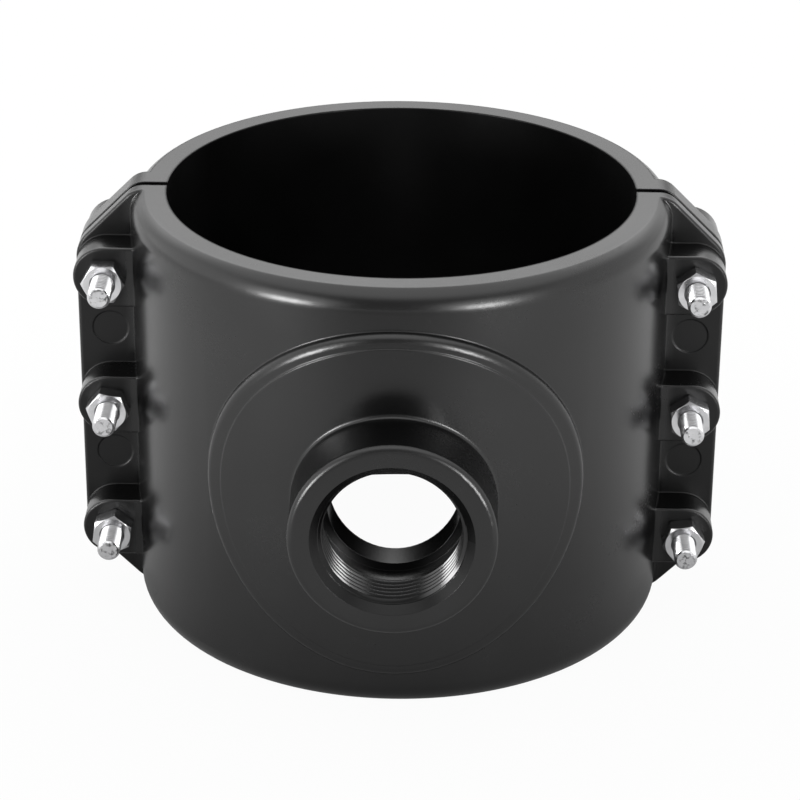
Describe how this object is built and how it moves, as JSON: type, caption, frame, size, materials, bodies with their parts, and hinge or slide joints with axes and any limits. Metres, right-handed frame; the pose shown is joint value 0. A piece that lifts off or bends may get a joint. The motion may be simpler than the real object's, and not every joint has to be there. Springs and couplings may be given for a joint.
{
  "type": "pipe tapping saddle",
  "caption": "Bolted two-piece plastic clamp saddle for a plastic pipe, with a threaded female branch outlet on a round pad.",
  "frame": {"origin": "where the pipe axis meets the outlet axis, halfway up the saddle", "axes": "+Z along the pipe, -Y out of the outlet, +X to the right-hand bolts as seen from the outlet"},
  "size_m": [0.2228, 0.2093, 0.15],
  "materials": {
    "black_plastic": "moulded black polypropylene, soft sheen",
    "bright_steel": "bright zinc-plated steel",
    "seal_rubber": "black nitrile rubber"
  },
  "bodies": {
    "outlet_half": {"outlet_half": "black_plastic", "outlet_seal": "seal_rubber"},
    "back_half": {"back_half": "black_plastic", "bolt_left_top": "bright_steel", "bolt_left_middle": "bright_steel", "bolt_left_bottom": "bright_steel", "bolt_right_top": "bright_steel", "bolt_right_middle": "bright_steel", "bolt_right_bottom": "bright_steel"},
    "nut_left_top": {"nut_left_top": "bright_steel"},
    "nut_left_middle": {"nut_left_middle": "bright_steel"},
    "nut_left_bottom": {"nut_left_bottom": "bright_steel"},
    "nut_right_top": {"nut_right_top": "bright_steel"},
    "nut_right_middle": {"nut_right_middle": "bright_steel"},
    "nut_right_bottom": {"nut_right_bottom": "bright_steel"}
  },
  "joints": [
    {"name": "clamp_travel", "type": "slide", "parent": "outlet_half", "child": "back_half", "axis": [0, 1, 0], "range_m": [-0.0029, 0.0115]},
    {"name": "nut_left_top_turn", "type": "hinge", "parent": "outlet_half", "child": "nut_left_top", "pos_m": [-0.1004, -0.019, 0.04775], "axis": [0, -1, 0], "range_deg": [-841, 3317]},
    {"name": "nut_left_middle_turn", "type": "hinge", "parent": "outlet_half", "child": "nut_left_middle", "pos_m": [-0.1004, -0.019, 0], "axis": [0, -1, 0], "range_deg": [-841, 3317]},
    {"name": "nut_left_bottom_turn", "type": "hinge", "parent": "outlet_half", "child": "nut_left_bottom", "pos_m": [-0.1004, -0.019, -0.04775], "axis": [0, -1, 0], "range_deg": [-841, 3317]},
    {"name": "nut_right_top_turn", "type": "hinge", "parent": "outlet_half", "child": "nut_right_top", "pos_m": [0.1004, -0.019, 0.04775], "axis": [0, -1, 0], "range_deg": [-841, 3317]},
    {"name": "nut_right_middle_turn", "type": "hinge", "parent": "outlet_half", "child": "nut_right_middle", "pos_m": [0.1004, -0.019, 0], "axis": [0, -1, 0], "range_deg": [-841, 3317]},
    {"name": "nut_right_bottom_turn", "type": "hinge", "parent": "outlet_half", "child": "nut_right_bottom", "pos_m": [0.1004, -0.019, -0.04775], "axis": [0, -1, 0], "range_deg": [-841, 3317]}
  ],
  "couplings": [
    {"joint": "nut_left_top_turn", "follows": "clamp_travel", "rad_per_m": 5026.5},
    {"joint": "nut_left_middle_turn", "follows": "clamp_travel", "rad_per_m": 5026.5},
    {"joint": "nut_left_bottom_turn", "follows": "clamp_travel", "rad_per_m": 5026.5},
    {"joint": "nut_right_top_turn", "follows": "clamp_travel", "rad_per_m": 5026.5},
    {"joint": "nut_right_middle_turn", "follows": "clamp_travel", "rad_per_m": 5026.5},
    {"joint": "nut_right_bottom_turn", "follows": "clamp_travel", "rad_per_m": 5026.5}
  ]
}
